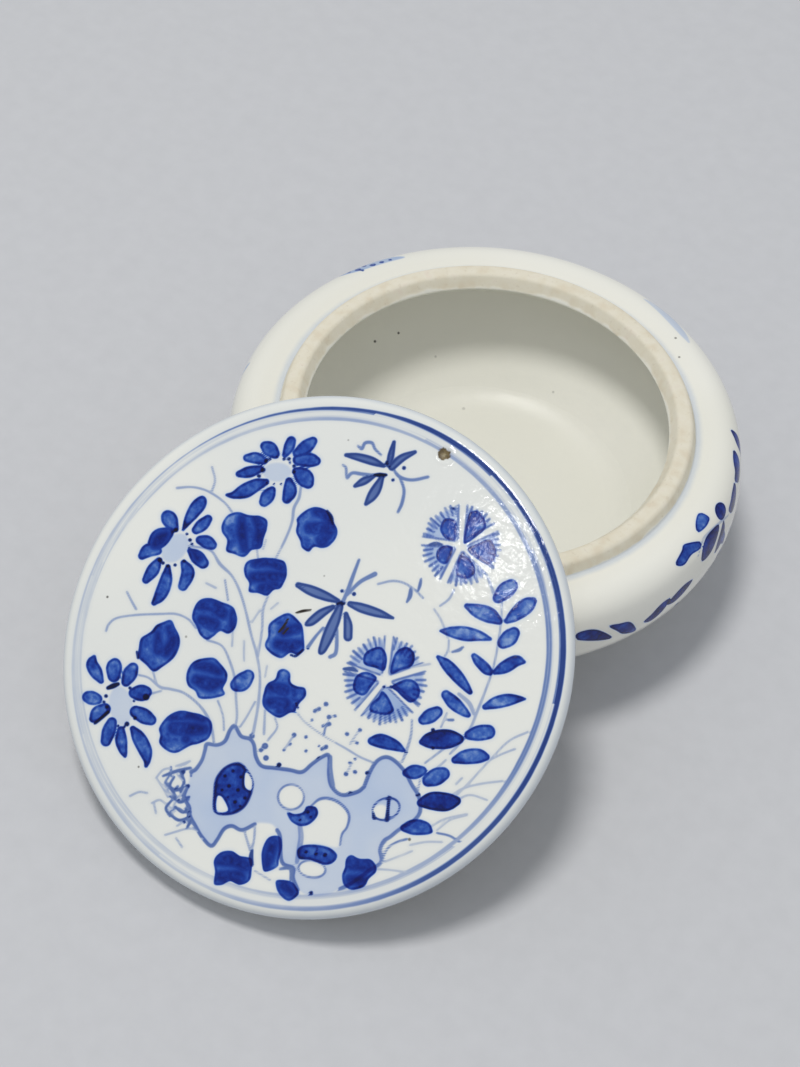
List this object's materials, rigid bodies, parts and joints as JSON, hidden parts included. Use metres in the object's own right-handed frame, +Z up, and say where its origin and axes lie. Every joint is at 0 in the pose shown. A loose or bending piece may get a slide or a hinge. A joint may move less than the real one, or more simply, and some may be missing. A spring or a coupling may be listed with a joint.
{
  "type": "seal paste box",
  "caption": "Low round porcelain box with a hollow for red seal paste and a loose flat lid, blue and white painting, lid leaning on the box.",
  "frame": {"origin": "on the box's axis, in the plane of the surface that its foot ring stands on", "axes": "+Z up along the box's axis; the lid leans on the box from the -Y side; +X to the right of the lid as seen from it"},
  "size_m": [0.0804, 0.1228, 0.0428],
  "materials": {
    "box": "clear glossy glaze over blue painting, bare biscuit on the neck and foot ring",
    "lid": "clear glossy glaze over blue painting, bare biscuit on the rim"
  },
  "bodies": {
    "box": {"box": "box"},
    "lid": {"lid": "lid"}
  },
  "joints": [
    {"name": "lid_lift", "type": "slide", "parent": "box", "child": "lid", "axis": [0, 0, 1], "range_m": [0, 0.05]}
  ]
}
